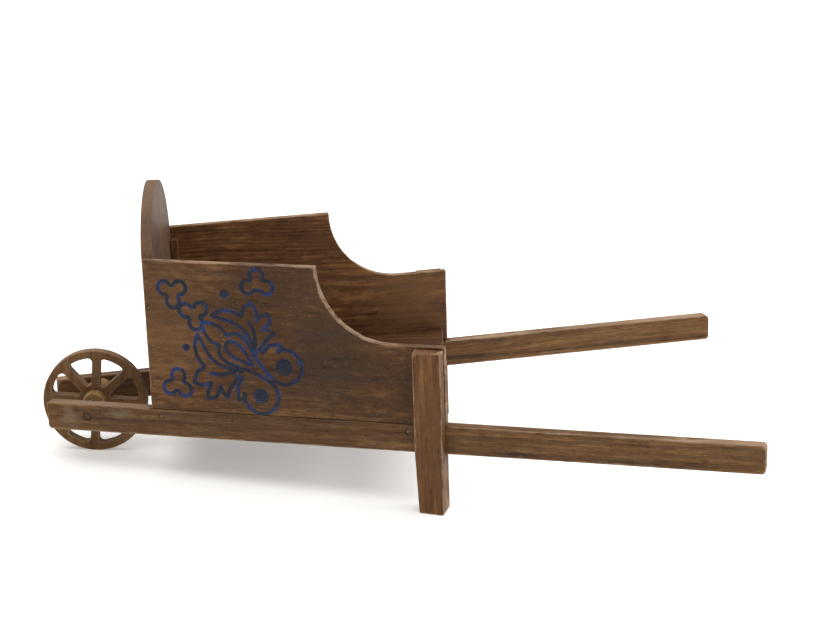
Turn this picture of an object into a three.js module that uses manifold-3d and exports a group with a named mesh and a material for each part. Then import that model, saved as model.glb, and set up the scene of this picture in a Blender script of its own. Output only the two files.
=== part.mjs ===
// A doll's wooden wheelbarrow cart: two splayed shafts run from the wheel fork to the handles and
// carry an open-backed tray with an arched headboard. Millimetres, +Z up, wheel towards -X,
// handles towards +X. The pusher stands at +X and looks along -X, so the left side is -Y.
import * as THREE from 'three';
import { mergeVertices } from 'three/addons/utils/BufferGeometryUtils.js';
import Module from 'manifold-3d';

const wasm = await Module();
wasm.setup();

// Fits
const jointGap = 0.3;          // between pieces that touch
const boreClearance = 0.3;     // on the radius, between a pin or the axle and its hole
const headSink = 0.2;          // nail and screw heads below the face they are driven into

// Stance
const wheelRadius = 51;
const splay = THREE.MathUtils.degToRad(14.36);   // each shaft, away from the centre line
const tilt = THREE.MathUtils.degToRad(3.24);     // the tray rises towards the handles at rest
const forkHalfWidth = 51;      // centre line to a shaft's outer face, at the axle

// Shafts, measured along their own length from the axle
const shaftThickness = 12;
const shaftHeight = 26.4;
const axleAboveShaftMiddle = 1.5;
const noseLength = { left: 41, right: 47.5 };
const handleReach = 641.5;
const noseRound = 4;
const handleRound = 4;

// Side panels
const panelThickness = 7.3;
const panelFront = 67.2;       // from the axle, along the shaft
const panelLength = 287.6;
const highTopLength = 168;     // front end to the scoop
const highTop = 145.1;         // above the shaft
const lowTop = 75;             // above the shaft, behind the scoop

// Headboard
const headboardThickness = 10.5;
const headboardProud = 1.2;    // in front of the panels' front ends
const headboardHeight = 205.3; // above the shaft
const archSpring = 130;        // above the shaft

// Corner battens
const battenSize = 7;
const battenBelowPanelTop = 12;

// Floor and its bearers
const floorThickness = 12.5;
const middleBoardWidth = 56;
const floorBehindPanelEnd = 3; // the floor stops short of the panels' rear ends
const bearerWidth = 20;
const bearerHeight = 14;
const rearBearerInset = 22;    // floor's rear end to the rear bearer

// Legs
const legWidth = 26.2;
const legThickness = 12.5;
const legShoulder = 9;         // how far the foot reaches in under the shaft
const legSetback = 1.1;        // in front of the panel's rear end
const legBelowPanelTop = 2.5;
const legToeTaper = 2.8;
const legToeRound = 4;

// Wheel
const wheelThickness = 10;
const rimWidth = 7.5;
const spokeWidth = 8;
const spokeCount = 8;
const wheelCentreRadius = 16.5;
const windowRound = 4;
const wheelPhase = THREE.MathUtils.degToRad(2);
const axleRadius = 4;
const hubRadius = 11.3;
const hubRound = 1.5;
const leftHubLength = 10;
const rightHubEndPlay = 1.5;   // to the right shaft's inner face

// Fasteners
const nail = { shank: 0.9, head: 1.7, headThickness: 0.7, length: 20 };
const bearerNail = { shank: 1.1, head: 2.1, headThickness: 0.8, length: 26 };
const floorNail = { shank: 0.8, head: 1.5, headThickness: 0.6, length: 22 };
const floorNailFromSeam = 8;   // in the outer boards, from the seam with the middle one
const legNail = { ...nail, length: 17 };
const legNailFromRear = 4.5;   // from the leg's rear face
const legNailHeight = 36.8;    // above the shaft
const legScrew = { shank: 1.6, head: 3.2, headThickness: 1.2, length: 20 };
const headboardNailHeights = [25, 62.5, 100];    // above the shaft
const dowelRadius = 2;
const dowelLength = 22;
const panelDowelPlaces = [0.12, 0.5, 0.82];      // shares of the panel's length

// Fineness of the curves, in steps to an arc or sides to a turn
const cornerSteps = 10;
const sweepSteps = 32;
const hubRoundSteps = 4;
const turnedSides = 32;
const dowelSides = 14;
const pinSides = 12;
const weldDistance = 1e-4;

// Heights in the tray's frame, whose origin is the middle of the axle
const shaftMiddle = -axleAboveShaftMiddle;
const shaftTop = shaftMiddle + shaftHeight / 2;
const shaftBottom = shaftMiddle - shaftHeight / 2;
const seat = shaftTop + jointGap;
const floorTop = seat + floorThickness;

// Places along the tray's centre line
const headboardFront = panelFront * Math.cos(splay) - headboardProud;
const headboardBack = headboardFront + headboardThickness;
const panelRear = panelFront + panelLength;
const floorFront = headboardBack + jointGap;
const floorRear = panelRear * Math.cos(splay) - floorBehindPanelEnd;
const frontBearerMiddle = headboardFront + bearerWidth / 2;
const rearBearerMiddle = floorRear - rearBearerInset - bearerWidth / 2;

const hands = { left: -1, right: 1 };

// Half the width between two faces that stand back from the shafts' outer faces by depth
function halfWidth(x, depth) {
  return forkHalfWidth + x * Math.tan(splay) - depth / Math.cos(splay);
}

// Frames: the tray turns about the axle, and each side's frame lies on its shaft's outer face
const trayMatrix = new THREE.Matrix4()
  .makeRotationY(-tilt)
  .setPosition(0, 0, wheelRadius);

function sideMatrix(hand) {
  return new THREE.Matrix4()
    .makeRotationZ(hand * splay)
    .setPosition(0, hand * forkHalfWidth, 0);
}

// Wood and metal
const darkWood = new THREE.MeshStandardMaterial({ color: 0x5b3b24, roughness: 0.62 });
const panelWood = new THREE.MeshStandardMaterial({ color: 0x604128, roughness: 0.6 });
const wheelWood = new THREE.MeshStandardMaterial({ color: 0x6d4d2b, roughness: 0.66 });
const hubWood = new THREE.MeshStandardMaterial({ color: 0x8d6f48, roughness: 0.7 });
const dowelWood = new THREE.MeshStandardMaterial({ color: 0xa98458, roughness: 0.7 });
const steel = new THREE.MeshStandardMaterial({ color: 0x8a8478, roughness: 0.45, metalness: 0.9 });

// Solids for cutting and joining
function toSolid(geometry, matrix = new THREE.Matrix4()) {
  const bare = geometry.clone().applyMatrix4(matrix);
  bare.deleteAttribute('normal');
  bare.deleteAttribute('uv');
  const welded = mergeVertices(bare, weldDistance);
  return new wasm.Manifold(new wasm.Mesh({
    numProp: 3,
    vertProperties: welded.attributes.position.array,
    triVerts: new Uint32Array(welded.index.array),
  }));
}

function toGeometry(solid) {
  const mesh = solid.getMesh();
  const geometry = new THREE.BufferGeometry();
  geometry.setAttribute('position', new THREE.BufferAttribute(mesh.vertProperties, 3));
  geometry.setIndex(new THREE.BufferAttribute(mesh.triVerts, 1));
  const faceted = geometry.toNonIndexed();
  faceted.computeVertexNormals();
  return faceted;
}

function cut(solid, cutters) {
  return cutters.reduce((rest, cutter) => rest.subtract(cutter), solid);
}

// A board whose outline is drawn along and up, with its thickness across
function standingBoard(outline, thickness, curveSegments) {
  return new THREE.ExtrudeGeometry(outline, { depth: thickness, bevelEnabled: false, curveSegments })
    .translate(0, 0, -thickness / 2)
    .rotateX(Math.PI / 2);
}

// A board on one side, its outer face standing out from the shaft's outer face by faceOut
function sideBoard(outline, thickness, hand, faceOut = 0, steps = cornerSteps) {
  return standingBoard(outline, thickness, steps).translate(0, hand * (faceOut - thickness / 2), 0);
}

// A flat board whose outline is drawn in plan
function lyingBoard(points, bottom, height) {
  const outline = new THREE.Shape(points.map(([x, y]) => new THREE.Vector2(x, y)));
  return new THREE.ExtrudeGeometry(outline, { depth: height, bevelEnabled: false })
    .translate(0, 0, bottom);
}

// Across the tray from side to side, with both ends cut to the splay
function crossPiece(front, back, depth, bottom, height) {
  return lyingBoard([
    [front, -halfWidth(front, depth)],
    [back, -halfWidth(back, depth)],
    [back, halfWidth(back, depth)],
    [front, halfWidth(front, depth)],
  ], bottom, height);
}

// A nail or screw along -Y with its head at the origin, or with room added all round, its hole
function pin(size, room = 0) {
  const neck = -(size.headThickness + room);
  const profile = [
    [0, -(size.length + room)],
    [size.shank + room, -(size.length + room - 2 * size.shank)],
    [size.shank + room, neck],
    [size.head + room, neck],
    [size.head + room, room],
    [0, room],
  ].map(([radius, along]) => new THREE.Vector2(radius, along));
  return new THREE.LatheGeometry(profile, pinSides);
}

// Where a pin goes: in a side's frame, pointing in towards the centre line or out from it
function sidePinMatrix(hand, along, faceOut, height, inwards) {
  const sink = inwards ? -headSink : headSink;
  const turn = (hand > 0) === inwards ? 0 : Math.PI;
  return new THREE.Matrix4()
    .makeRotationX(turn)
    .setPosition(along, hand * (faceOut + sink), height);
}

function downPinMatrix(x, y, top) {
  return new THREE.Matrix4()
    .makeRotationX(Math.PI / 2)
    .setPosition(x, y, top - headSink);
}

function dowelMatrix(hand, along) {
  return new THREE.Matrix4()
    .makeRotationX(Math.PI / 2)
    .setPosition(along, -hand * panelThickness / 2, shaftTop);
}

function dowel(room = 0) {
  return new THREE.CylinderGeometry(
    dowelRadius + room, dowelRadius + room, dowelLength + 2 * room, dowelSides);
}

function axleBar(radius, halfLength) {
  return new THREE.CylinderGeometry(radius, radius, 2 * halfLength, turnedSides);
}

// Fasteners of one side, in that side's frame
function sideFasteners(hand) {
  const headboardMiddle = (headboardFront + headboardBack) / 2 / Math.cos(splay);
  const legRear = panelRear - legSetback;
  const fasteners = [];
  headboardNailHeights.forEach((height, index) => fasteners.push({
    name: `headboard_nail_${index + 1}`,
    size: nail,
    matrix: sidePinMatrix(hand, headboardMiddle, 0, shaftTop + height, true),
  }));
  [['front', frontBearerMiddle], ['rear', rearBearerMiddle]].forEach(([end, middle]) => fasteners.push({
    name: `${end}_bearer_nail`,
    size: bearerNail,
    matrix: sidePinMatrix(hand, middle / Math.cos(splay), 0, shaftTop - bearerHeight / 2, true),
  }));
  fasteners.push({
    name: 'leg_nail',
    size: legNail,
    matrix: sidePinMatrix(
      hand, legRear - legNailFromRear, -panelThickness, shaftTop + legNailHeight, false),
  });
  fasteners.push({
    name: 'leg_screw',
    size: legScrew,
    matrix: sidePinMatrix(hand, legRear - legWidth / 2, -shaftThickness, shaftMiddle, false),
  });
  return fasteners;
}

function sideHoles(hand, wanted) {
  return sideFasteners(hand)
    .filter(({ name }) => wanted.test(name))
    .map(({ size, matrix }) => toSolid(pin(size, boreClearance), matrix));
}

// The same holes seen from the tray's own frame
function trayHoles(wanted) {
  return Object.values(hands).flatMap((hand) => sideFasteners(hand)
    .filter(({ name }) => wanted.test(name))
    .map(({ size, matrix }) => toSolid(
      pin(size, boreClearance),
      new THREE.Matrix4().multiplyMatrices(sideMatrix(hand), matrix))));
}

function panelDowelPlace(share) {
  return panelFront + share * panelLength;
}

function dowelHoles(hand) {
  return panelDowelPlaces.map((share) => toSolid(
    dowel(boreClearance), dowelMatrix(hand, panelDowelPlace(share))));
}

// Floor nails: one through each board into each bearer
const outerNailPlace = middleBoardWidth / 2 + floorNailFromSeam;
const floorNails = [['front', frontBearerMiddle + bearerWidth / 4], ['rear', rearBearerMiddle]]
  .flatMap(([end, x]) => [['left', -1], ['middle', 0], ['right', 1]].map(([board, across]) => ({
    name: `floor_nail_${end}_${board}`,
    end,
    board,
    matrix: downPinMatrix(x, across * outerNailPlace, floorTop),
  })));

function floorHoles(key, value) {
  return floorNails
    .filter((item) => item[key] === value)
    .map(({ matrix }) => toSolid(pin(floorNail, boreClearance), matrix));
}

// Shaft: one bar from the wheel fork to the handle
function shaft(name, hand) {
  const front = -noseLength[name];
  const outline = new THREE.Shape();
  outline.moveTo(front, shaftTop);
  outline.lineTo(front, shaftBottom + noseRound);
  outline.absarc(front + noseRound, shaftBottom + noseRound, noseRound, Math.PI, 1.5 * Math.PI, false);
  outline.lineTo(handleReach - handleRound, shaftBottom);
  outline.absarc(handleReach - handleRound, shaftBottom + handleRound, handleRound, -Math.PI / 2, 0, false);
  outline.lineTo(handleReach, shaftTop - handleRound);
  outline.absarc(handleReach - handleRound, shaftTop - handleRound, handleRound, 0, Math.PI / 2, false);
  const bar = toSolid(sideBoard(outline, shaftThickness, hand));
  const sideToTray = sideMatrix(hand);
  const axleHole = toSolid(
    axleBar(axleRadius + boreClearance, 2 * forkHalfWidth), sideToTray.clone().invert());
  return cut(bar, [axleHole, ...sideHoles(hand, /bearer_nail|leg_screw/), ...dowelHoles(hand)]);
}

// Side panel: high at the front, then a quarter-round scoop down to the low rear part
function sidePanel(hand) {
  const scoopRadius = highTop - lowTop;
  const scoopStart = panelFront + highTopLength;
  const outline = new THREE.Shape();
  outline.moveTo(panelFront, seat);
  outline.lineTo(panelRear, seat);
  outline.lineTo(panelRear, shaftTop + lowTop);
  outline.lineTo(scoopStart + scoopRadius, shaftTop + lowTop);
  outline.absarc(
    scoopStart + scoopRadius, shaftTop + highTop, scoopRadius, -Math.PI / 2, -Math.PI, true);
  outline.lineTo(panelFront, shaftTop + highTop);
  const board = toSolid(sideBoard(outline, panelThickness, hand, 0, sweepSteps));
  return cut(board, [...sideHoles(hand, /headboard_nail|leg_nail/), ...dowelHoles(hand)]);
}

// Leg: on the outside of panel and shaft, with a thicker foot that steps in under the shaft
function leg(hand) {
  const rear = panelRear - legSetback;
  const front = rear - legWidth;
  const groundAt = (along) => (
    -(wheelRadius + along * Math.cos(splay) * Math.sin(tilt)) / Math.cos(tilt) - jointGap);
  const outlineUpTo = (top) => {
    const outline = new THREE.Shape();
    outline.moveTo(front, top);
    outline.lineTo(front, shaftBottom - jointGap);
    outline.lineTo(front + legToeTaper, groundAt(front + legToeTaper));
    outline.lineTo(rear - legToeRound, groundAt(rear - legToeRound));
    outline.quadraticCurveTo(rear, groundAt(rear), rear, groundAt(rear) + legToeRound);
    outline.lineTo(rear, top);
    return outline;
  };
  const outerFace = jointGap + legThickness;
  const post = toSolid(sideBoard(
    outlineUpTo(shaftTop + lowTop - legBelowPanelTop), legThickness, hand, outerFace));
  const foot = toSolid(sideBoard(
    outlineUpTo(shaftBottom - jointGap), outerFace + legShoulder, hand, outerFace));
  const sideToWorld = new THREE.Matrix4().multiplyMatrices(trayMatrix, sideMatrix(hand));
  const ground = toSolid(
    new THREE.BoxGeometry(4 * handleReach, 4 * handleReach, wheelRadius).translate(0, 0, -wheelRadius / 2),
    sideToWorld.invert());
  return cut(post.add(foot), [ground, ...sideHoles(hand, /leg_nail|leg_screw/)]);
}

// Headboard: between the panels, its upper part a half ellipse
function headboard() {
  const depth = panelThickness + jointGap;
  const archHalfWidth = halfWidth(headboardBack, depth);
  const outline = new THREE.Shape();
  outline.moveTo(archHalfWidth, seat);
  outline.lineTo(archHalfWidth, shaftTop + archSpring);
  outline.absellipse(
    0, shaftTop + archSpring, archHalfWidth, headboardHeight - archSpring, 0, Math.PI, false, 0);
  outline.lineTo(-archHalfWidth, seat);
  const slab = toSolid(
    new THREE.ExtrudeGeometry(outline, {
      depth: headboardThickness, bevelEnabled: false, curveSegments: sweepSteps,
    }).rotateX(Math.PI / 2).rotateZ(Math.PI / 2).translate(headboardFront, 0, 0));
  const room = toSolid(crossPiece(headboardFront, headboardBack, depth, shaftBottom, 2 * headboardHeight));
  return cut(slab.intersect(room), trayHoles(/headboard_nail/));
}

// Batten in the corner between headboard and panel
function cornerBatten(hand) {
  const outer = panelThickness + jointGap;
  const inner = outer + battenSize;
  const front = headboardBack + jointGap;
  const back = front + battenSize;
  const corners = [
    [front, hand * halfWidth(front, inner)],
    [back, hand * halfWidth(back, inner)],
    [back, hand * halfWidth(back, outer)],
    [front, hand * halfWidth(front, outer)],
  ];
  const bottom = floorTop + jointGap;
  return lyingBoard(corners, bottom, shaftTop + highTop - battenBelowPanelTop - bottom);
}

// Bearer: between the shafts, under the floor, flush with their tops
function bearer(end, middle) {
  const bar = crossPiece(
    middle - bearerWidth / 2, middle + bearerWidth / 2, shaftThickness + jointGap,
    shaftTop - bearerHeight, bearerHeight);
  return cut(toSolid(bar), [
    ...trayHoles(new RegExp(`${end}_bearer_nail`)),
    ...floorHoles('end', end),
  ]);
}

// Floor: three boards along the tray, the outer two cut to the splay
function floorBoard(name, across) {
  const middleEdge = middleBoardWidth / 2;
  const outerEdge = (x) => halfWidth(x, panelThickness + jointGap);
  const corners = across === 0
    ? [[floorFront, -middleEdge], [floorRear, -middleEdge], [floorRear, middleEdge], [floorFront, middleEdge]]
    : [
      [floorFront, across * (middleEdge + jointGap)],
      [floorRear, across * (middleEdge + jointGap)],
      [floorRear, across * outerEdge(floorRear)],
      [floorFront, across * outerEdge(floorFront)],
    ];
  return cut(toSolid(lyingBoard(corners, seat, floorThickness)), floorHoles('board', name));
}

// Wheel: a sawn disc with a rim, parallel-sided spokes and rounded window corners
function wheelDisc() {
  const disc = new THREE.Shape();
  disc.absarc(0, 0, wheelRadius, 0, 2 * Math.PI, false);
  const rimInside = wheelRadius - rimWidth;
  const step = 2 * Math.PI / spokeCount;
  const edgeAngle = (radius) => Math.asin(spokeWidth / 2 / radius);
  const polar = (radius, angle) => new THREE.Vector2(radius * Math.cos(angle), radius * Math.sin(angle));
  for (let index = 0; index < spokeCount; index += 1) {
    const start = index * step + Math.PI / 2;
    const end = start + step;
    const innerStart = start + edgeAngle(wheelCentreRadius);
    const innerEnd = end - edgeAngle(wheelCentreRadius);
    const outerStart = start + edgeAngle(rimInside);
    const outerEnd = end - edgeAngle(rimInside);
    const roundAngle = windowRound / rimInside;
    const startEdge = polar(rimInside - windowRound, start + edgeAngle(rimInside - windowRound));
    const endEdge = polar(rimInside - windowRound, end - edgeAngle(rimInside - windowRound));
    const startCorner = polar(rimInside, outerStart);
    const endCorner = polar(rimInside, outerEnd);
    const window = new THREE.Path();
    window.absarc(0, 0, wheelCentreRadius, innerEnd, innerStart, true);
    window.lineTo(startEdge.x, startEdge.y);
    const arcStart = polar(rimInside, outerStart + roundAngle);
    window.quadraticCurveTo(startCorner.x, startCorner.y, arcStart.x, arcStart.y);
    window.absarc(0, 0, rimInside, outerStart + roundAngle, outerEnd - roundAngle, false);
    window.quadraticCurveTo(endCorner.x, endCorner.y, endEdge.x, endEdge.y);
    window.closePath();
    disc.holes.push(window);
  }
  const bore = new THREE.Path();
  bore.absarc(0, 0, axleRadius + boreClearance, 0, 2 * Math.PI, true);
  disc.holes.push(bore);
  return standingBoard(disc, wheelThickness, sweepSteps);
}

// Hub disc: a thick ring with a rounded outer arris, its flat face to the wheel
function hub(length) {
  const bore = axleRadius + boreClearance;
  const arris = Array.from({ length: hubRoundSteps + 1 }, (_, step) => {
    const angle = (step / hubRoundSteps) * Math.PI / 2;
    return [
      hubRadius - hubRound * (1 - Math.cos(angle)),
      length - hubRound * (1 - Math.sin(angle)),
    ];
  });
  const profile = [[bore, 0], [hubRadius, 0], ...arris, [bore, length], [bore, 0]]
    .map(([radius, along]) => new THREE.Vector2(radius, along));
  return new THREE.LatheGeometry(profile, turnedSides);
}

// Assembly
function mesh(name, geometry, material) {
  const result = new THREE.Mesh(geometry, material);
  result.name = name;
  return result;
}

function placed(name, geometry, material, matrix) {
  const result = mesh(name, geometry, material);
  matrix.decompose(result.position, result.quaternion, result.scale);
  return result;
}

const tray = new THREE.Group();
trayMatrix.decompose(tray.position, tray.quaternion, tray.scale);

for (const [name, hand] of Object.entries(hands)) {
  const side = new THREE.Group();
  sideMatrix(hand).decompose(side.position, side.quaternion, side.scale);
  side.add(mesh(`${name}_shaft`, toGeometry(shaft(name, hand)), darkWood));
  side.add(mesh(`${name}_side_panel`, toGeometry(sidePanel(hand)), panelWood));
  side.add(mesh(`${name}_leg`, toGeometry(leg(hand)), darkWood));
  for (const item of sideFasteners(hand)) {
    side.add(placed(`${name}_${item.name}`, pin(item.size), steel, item.matrix));
  }
  panelDowelPlaces.forEach((share, index) => side.add(placed(
    `${name}_panel_dowel_${index + 1}`, dowel(), dowelWood, dowelMatrix(hand, panelDowelPlace(share)))));
  tray.add(side);
  tray.add(mesh(`${name}_corner_batten`, cornerBatten(hand), darkWood));
}

tray.add(mesh('headboard', toGeometry(headboard()), panelWood));
tray.add(mesh('front_bearer', toGeometry(bearer('front', frontBearerMiddle)), darkWood));
tray.add(mesh('rear_bearer', toGeometry(bearer('rear', rearBearerMiddle)), darkWood));
for (const [name, across] of [['left', -1], ['middle', 0], ['right', 1]]) {
  tray.add(mesh(`floor_board_${name}`, toGeometry(floorBoard(name, across)), panelWood));
}
for (const item of floorNails) {
  tray.add(placed(item.name, pin(floorNail), steel, item.matrix));
}

// The axle is fast in the shafts, and its ends stay inside their slanted outer faces
const axleHalfLength = halfWidth(-axleRadius, 0);
const axle = mesh('axle', axleBar(axleRadius, axleHalfLength), dowelWood);
axle.position.set(0, 0, wheelRadius);

const rightHubEnd = halfWidth(-hubRadius, shaftThickness) - rightHubEndPlay;
const hubStart = wheelThickness / 2 + jointGap;
const wheelSet = new THREE.Group();
wheelSet.position.set(0, 0, wheelRadius);
wheelSet.rotation.y = wheelPhase;
wheelSet.add(mesh('wheel', wheelDisc(), wheelWood));
const leftHub = mesh('left_hub', hub(leftHubLength), hubWood);
leftHub.position.y = -hubStart;
leftHub.rotation.x = Math.PI;
wheelSet.add(leftHub);
const rightHub = mesh('right_hub', hub(rightHubEnd - hubStart), hubWood);
rightHub.position.y = hubStart;
wheelSet.add(rightHub);

// The origin is on the ground, under the middle of the whole cart
const cart = new THREE.Group();
const standing = new THREE.Group();
standing.add(tray, axle, wheelSet);
standing.updateMatrixWorld(true);
const middle = new THREE.Box3().setFromObject(standing, true).getCenter(new THREE.Vector3());
standing.position.x = -middle.x;
cart.add(standing);

export default cart;
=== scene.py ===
import math

import bmesh
import bpy
import numpy as np
from mathutils import Matrix, Vector, kdtree, noise
from mathutils.bvhtree import BVHTree


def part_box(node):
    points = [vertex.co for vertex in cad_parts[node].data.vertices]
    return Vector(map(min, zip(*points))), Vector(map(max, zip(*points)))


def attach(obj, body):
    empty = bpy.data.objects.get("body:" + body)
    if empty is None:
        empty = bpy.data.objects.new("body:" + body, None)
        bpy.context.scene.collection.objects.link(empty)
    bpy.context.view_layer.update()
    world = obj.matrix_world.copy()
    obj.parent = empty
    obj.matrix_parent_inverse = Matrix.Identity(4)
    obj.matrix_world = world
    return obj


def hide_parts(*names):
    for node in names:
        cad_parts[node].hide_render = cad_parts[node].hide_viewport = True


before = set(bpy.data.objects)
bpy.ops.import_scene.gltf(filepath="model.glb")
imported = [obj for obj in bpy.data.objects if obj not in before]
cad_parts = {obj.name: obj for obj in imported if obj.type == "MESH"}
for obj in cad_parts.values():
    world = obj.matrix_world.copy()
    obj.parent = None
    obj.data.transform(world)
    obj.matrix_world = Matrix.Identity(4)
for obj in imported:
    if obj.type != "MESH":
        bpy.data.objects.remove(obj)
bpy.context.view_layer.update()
mm = 0.001
print("frame loaded:", len(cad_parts), "nodes")


# The camera stands low in front of the left side, a little towards the handles
cameraSettings = {
    "place": (0.034582, -1.820529, 0.675442),
    "yaw": -0.0097,       # radians, to the left of straight ahead
    "pitch": 0.2806,      # looking down
    "roll": 0.0262,
    "lens": 86.607,
    "sensor": 36.0,
    "clip": (0.05, 60),
}


def makeCamera(settings):
    yaw, pitch, roll = settings["yaw"], settings["pitch"], settings["roll"]
    ahead = Vector((math.sin(yaw) * math.cos(pitch), math.cos(yaw) * math.cos(pitch), -math.sin(pitch)))
    level = Vector((math.cos(yaw), -math.sin(yaw), 0))
    above = level.cross(ahead)
    right = math.cos(roll) * level + math.sin(roll) * above
    up = -math.sin(roll) * level + math.cos(roll) * above
    data = bpy.data.cameras.new("studioCamera")
    data.lens = settings["lens"]
    data.sensor_width = settings["sensor"]
    data.clip_start, data.clip_end = settings["clip"]
    camera = bpy.data.objects.new("studioCamera", data)
    turn = Matrix((right, up, -ahead)).transposed().to_4x4()
    camera.matrix_world = Matrix.Translation(settings["place"]) @ turn
    bpy.context.scene.collection.objects.link(camera)
    bpy.context.scene.camera = camera


makeCamera(cameraSettings)
print("camera placed")


# Colours are given as a paint shop reads them, 0 to 255, and used as linear light
def tone(red, green, blue):
    shares = [value / 255 for value in (red, green, blue)]
    return tuple(s / 12.92 if s <= 0.04045 else ((s + 0.055) / 1.055) ** 2.4 for s in shares) + (1.0,)


# Short ways to write a node tree
def feed(tree, socket, value):
    if isinstance(value, bpy.types.NodeSocket):
        tree.links.new(value, socket)
    else:
        socket.default_value = value


def calc(tree, operation, *values, clamp=False):
    node = tree.nodes.new("ShaderNodeMath")
    node.operation = operation
    node.use_clamp = clamp
    for socket, value in zip(node.inputs, values):
        feed(tree, socket, value)
    return node.outputs[0]


def vectorCalc(tree, operation, *values):
    node = tree.nodes.new("ShaderNodeVectorMath")
    node.operation = operation
    for socket, value in zip(node.inputs, values):
        feed(tree, socket, value)
    return node.outputs["Value" if operation == "LENGTH" else "Vector"]


# The Mix node's colour sockets are its inputs 6 and 7 and its output 2
def mixColour(tree, factor, first, second, mode="MIX"):
    node = tree.nodes.new("ShaderNodeMix")
    node.data_type = "RGBA"
    node.blend_type = mode
    feed(tree, node.inputs[0], factor)
    feed(tree, node.inputs[6], first)
    feed(tree, node.inputs[7], second)
    return node.outputs[2]


def ramp(tree, value, low, high, start=0.0, end=1.0):
    node = tree.nodes.new("ShaderNodeMapRange")
    node.interpolation_type = "SMOOTHSTEP"
    for socket, given in zip(node.inputs, (value, low, high, start, end)):
        feed(tree, socket, given)
    return node.outputs[0]


# stretch is in waves per metre, along the piece, across it and through it
def noiseField(tree, place, stretch, shift, detail=2.0, rough=0.5):
    node = tree.nodes.new("ShaderNodeTexNoise")
    node.inputs["Scale"].default_value = 1.0
    node.inputs["Detail"].default_value = detail
    node.inputs["Roughness"].default_value = rough
    feed(tree, node.inputs["Vector"], vectorCalc(tree, "MULTIPLY_ADD", place, stretch, shift))
    return node.outputs[0]


def centred(tree, value, reach):
    return calc(tree, "MULTIPLY", calc(tree, "SUBTRACT", value, 0.5), reach)


# Moves a pattern off by its seed, so that pieces with different seeds differ in their grain
def seedShift(tree, seed):
    node = tree.nodes.new("ShaderNodeCombineXYZ")
    for socket, stride in zip(node.inputs, (7.31, 3.17, 5.93)):
        feed(tree, socket, calc(tree, "MULTIPLY", seed, stride))
    return node.outputs[0]


def spreadNodes(tree):
    for index, node in enumerate(tree.nodes):
        node.location = (240 * (index % 9), -300 * (index // 9))


socketKinds = {float: "NodeSocketFloat", tuple: "NodeSocketColor", str: "NodeSocketVector"}


def makeGroup(name, inputs, outputs):
    tree = bpy.data.node_groups.new(name, "ShaderNodeTree")
    for side, sockets in (("INPUT", inputs), ("OUTPUT", outputs)):
        for label, value in sockets.items():
            kind = socketKinds[type(value)]
            socket = tree.interface.new_socket(name=label, in_out=side, socket_type=kind)
            if type(value) is not str:
                socket.default_value = value
    return tree, tree.nodes.new("NodeGroupInput").outputs, tree.nodes.new("NodeGroupOutput").inputs


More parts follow.
